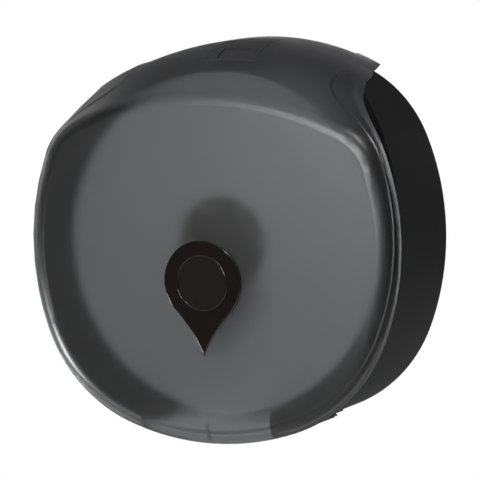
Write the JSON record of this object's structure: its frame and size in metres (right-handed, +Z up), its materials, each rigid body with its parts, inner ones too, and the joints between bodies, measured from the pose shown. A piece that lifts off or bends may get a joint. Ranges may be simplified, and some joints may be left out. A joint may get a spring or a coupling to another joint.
{
  "type": "jumbo toilet roll dispenser",
  "caption": "Wall-mounted jumbo toilet roll dispenser: black tray, roll on a turning hub, smoked translucent cover that swings down, cam lock and serrated tear strips.",
  "frame": {"origin": "centre of the flat back face, on the wall plane, at the centre of the cover's outline", "axes": "+Z up, the front faces -Y, +Y points into the wall, +X is to the right as seen from the front"},
  "size_m": [0.3327, 0.1393, 0.3322],
  "materials": {
    "smoked_cover": "smoked translucent plastic with a fine satin face",
    "tray_plastic": "black moulded plastic with a fine grain",
    "hub_plastic": "black moulded plastic",
    "white_plastic": "slippery white plastic",
    "badge_plastic": "gloss black plastic",
    "badge_face": "gloss black disc, bare",
    "panel_plastic": "dark satin plastic",
    "strip_steel": "black coated steel",
    "keeper_steel": "zinc plated steel",
    "screw_steel": "zinc plated steel",
    "lock_metal": "dark plated metal",
    "paper": "soft white tissue paper, wound",
    "cardboard": "grey-brown cardboard"
  },
  "bodies": {
    "base": {"base_tray": "tray_plastic", "spindle": "tray_plastic", "spindle_screws": "screw_steel", "thrust_washer": "white_plastic", "hub_cap": "hub_plastic", "hub_cap_screw": "screw_steel", "tear_strip_left": "strip_steel", "tear_strip_right": "strip_steel", "tear_strip_screws": "screw_steel", "hinge_pins": "screw_steel", "lock_keeper": "keeper_steel", "keeper_screws": "screw_steel"},
    "roll": {"hub_sleeve": "hub_plastic", "roll_core": "cardboard", "paper_roll": "paper"},
    "cover": {"front_cover": "smoked_cover", "drop_badge": "badge_plastic", "badge_disc": "badge_face", "badge_push_nuts": "screw_steel", "lock_panel": "panel_plastic", "lock_sleeve": "lock_metal", "lock_nut": "screw_steel"},
    "lock": {"lock_barrel": "lock_metal", "lock_cam": "keeper_steel", "cam_screw": "screw_steel"}
  },
  "joints": [
    {"name": "cover_open", "type": "hinge", "parent": "base", "child": "cover", "pos_m": [0, -0.103, -0.1455], "axis": [1, 0, 0], "range_deg": [0, 90]},
    {"name": "roll_turn", "type": "hinge", "parent": "base", "child": "roll", "pos_m": [0, -0.053, -0.003], "axis": [0, 1, 0], "continuous": true},
    {"name": "lock_turn", "type": "hinge", "parent": "cover", "child": "lock", "pos_m": [0, -0.039, 0.153], "axis": [0, 0, -1], "range_deg": [0, 90]}
  ]
}
